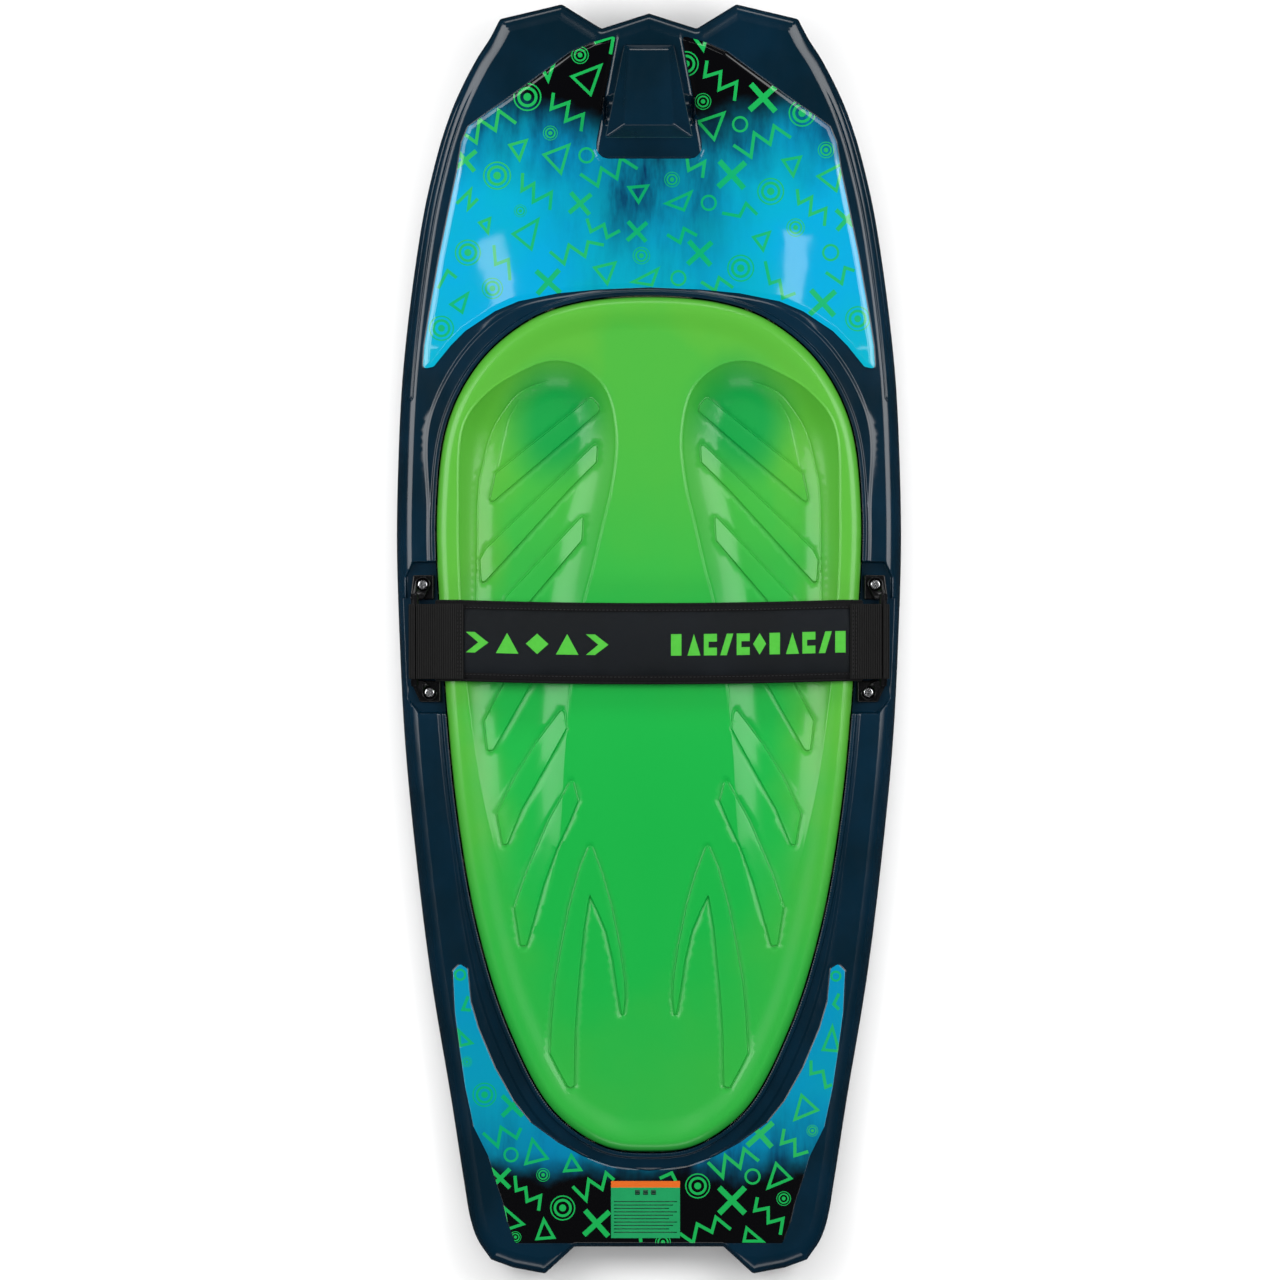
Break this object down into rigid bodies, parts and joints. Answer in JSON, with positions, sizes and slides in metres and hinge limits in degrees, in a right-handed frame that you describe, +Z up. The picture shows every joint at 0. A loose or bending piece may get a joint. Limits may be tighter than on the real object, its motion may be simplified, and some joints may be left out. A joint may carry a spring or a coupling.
{
  "type": "kneeboard",
  "caption": "Kneeboard: foam-filled moulded shell with a tow hook on the nose, contoured knee pad and padded hook-and-loop thigh strap.",
  "frame": {"origin": "middle of the board in plan, on the plane that its flat bottom rests on", "axes": "+Y to the nose, +X to the rider's right, +Z up out of the deck"},
  "size_m": [0.505, 1.268, 0.138],
  "materials": {
    "shell_plastic": "satin navy moulded polyethylene",
    "core_foam": "rigid closed-cell foam",
    "pad_foam": "bright green moulded EVA foam, satin skin",
    "graphic_film": "glossy printed film, blue and black with green line shapes",
    "label_film": "plain green and orange sticker",
    "bracket_nylon": "black moulded nylon",
    "screw_steel": "stainless steel",
    "insert_brass": "threaded brass",
    "ribbed_webbing": "black ribbed polyester webbing",
    "strap_cover_cloth": "smooth blue-black coated cloth",
    "strap_lining_cloth": "black lining cloth",
    "strap_padding": "soft closed-cell foam",
    "binding_tape": "black woven edge tape",
    "loop_tape": "loop side of hook-and-loop tape",
    "hook_tape": "hook side of hook-and-loop tape"
  },
  "bodies": {
    "board": {"hull_shell": "shell_plastic", "foam_core": "core_foam", "foam_fill_plug": "shell_plastic", "knee_pad": "pad_foam", "nose_graphic": "graphic_film", "tail_graphic": "graphic_film", "info_label": "label_film", "left_anchor_bracket": "bracket_nylon", "left_anchor_screws": "screw_steel", "left_anchor_inserts": "insert_brass", "left_strap_loop": "ribbed_webbing", "left_strap_end": "strap_cover_cloth", "left_loop_patch": "loop_tape", "right_anchor_bracket": "bracket_nylon", "right_anchor_screws": "screw_steel", "right_anchor_inserts": "insert_brass", "right_strap_loop": "ribbed_webbing", "right_strap_end": "strap_cover_cloth", "right_loop_patch": "loop_tape"},
    "strap": {"strap_cover_top": "strap_cover_cloth", "strap_cover_back": "strap_lining_cloth", "strap_foam": "strap_padding", "strap_webbing": "ribbed_webbing", "strap_binding_front": "binding_tape", "strap_binding_rear": "binding_tape"},
    "left_tab": {"left_hook_patch": "hook_tape", "left_tab": "ribbed_webbing"},
    "right_tab": {"right_hook_patch": "hook_tape", "right_tab": "ribbed_webbing"}
  },
  "joints": [
    {"name": "strap_height", "type": "slide", "parent": "board", "child": "strap", "axis": [0, 0, 1], "range_m": [0, 0.1]},
    {"name": "left_tab_peel", "type": "hinge", "parent": "board", "child": "left_tab", "pos_m": [-0.234, 0, 0.0622], "axis": [0, -1, 0], "range_deg": [0, 150]},
    {"name": "right_tab_peel", "type": "hinge", "parent": "board", "child": "right_tab", "pos_m": [0.234, 0, 0.0622], "axis": [0, 1, 0], "range_deg": [0, 150]}
  ]
}
